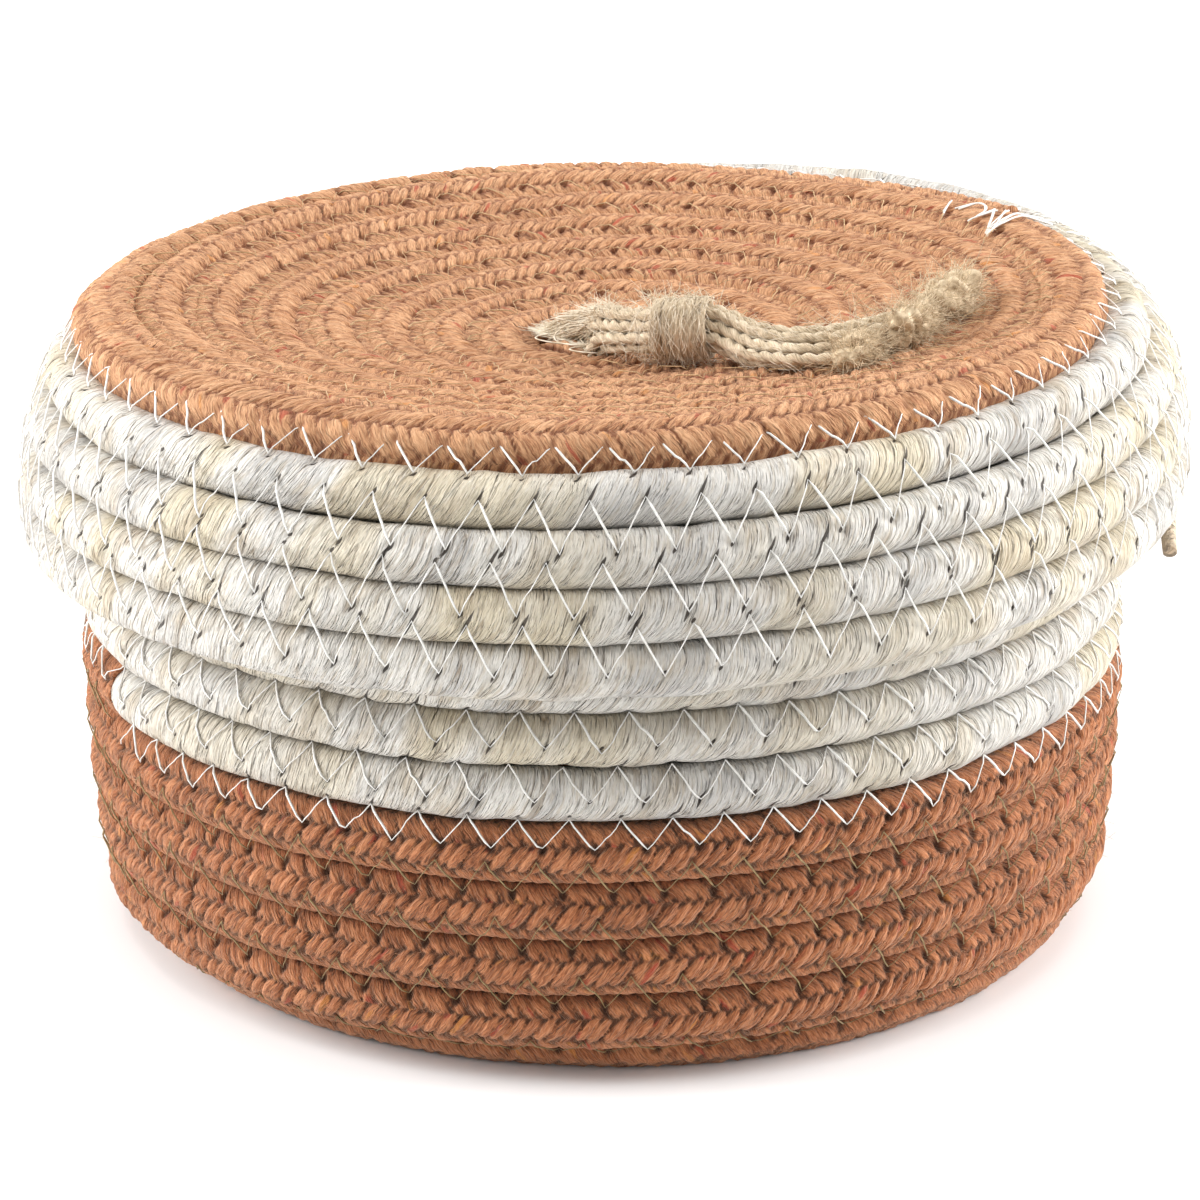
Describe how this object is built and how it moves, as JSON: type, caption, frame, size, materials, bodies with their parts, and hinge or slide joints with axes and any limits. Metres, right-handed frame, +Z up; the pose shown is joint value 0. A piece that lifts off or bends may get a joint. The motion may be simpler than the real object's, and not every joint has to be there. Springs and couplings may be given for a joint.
{
  "type": "knitting basket",
  "caption": "Round coiled-rope knitting basket with a cord-bound rim, a dished lift-off lid and a jute tassel pull.",
  "frame": {"origin": "middle of the basket's base, on the surface that it stands on", "axes": "+Z up along the basket's axis, -Y towards the picture's camera, +X to its right"},
  "size_m": [0.2175, 0.2109, 0.1186],
  "materials": {
    "terracotta_rope": "braided cotton, matt",
    "lid_rope": "braided cotton, matt",
    "husk": "wrapped dry husk, low sheen",
    "jute": "twisted jute, matt"
  },
  "bodies": {
    "basket": {"basket_rope": "terracotta_rope", "basket_husk_cord": "husk"},
    "lid": {"lid_rope": "lid_rope", "lid_husk_cord": "husk"},
    "tassel": {"tassel_strand_1": "jute", "tassel_strand_2": "jute", "tassel_strand_3": "jute", "tassel_strand_4": "jute", "tassel_strand_5": "jute", "tassel_whipping": "jute"}
  },
  "joints": [
    {"name": "lid_lift", "type": "slide", "parent": "basket", "child": "lid", "axis": [0, 0, 1], "range_m": [0, 0.06]},
    {"name": "tassel_swing", "type": "hinge", "parent": "lid", "child": "tassel", "pos_m": [-0.00325, 0.00042, 0.1006], "axis": [-0.7071, -0.7071, 0], "range_deg": [0, 90]}
  ]
}
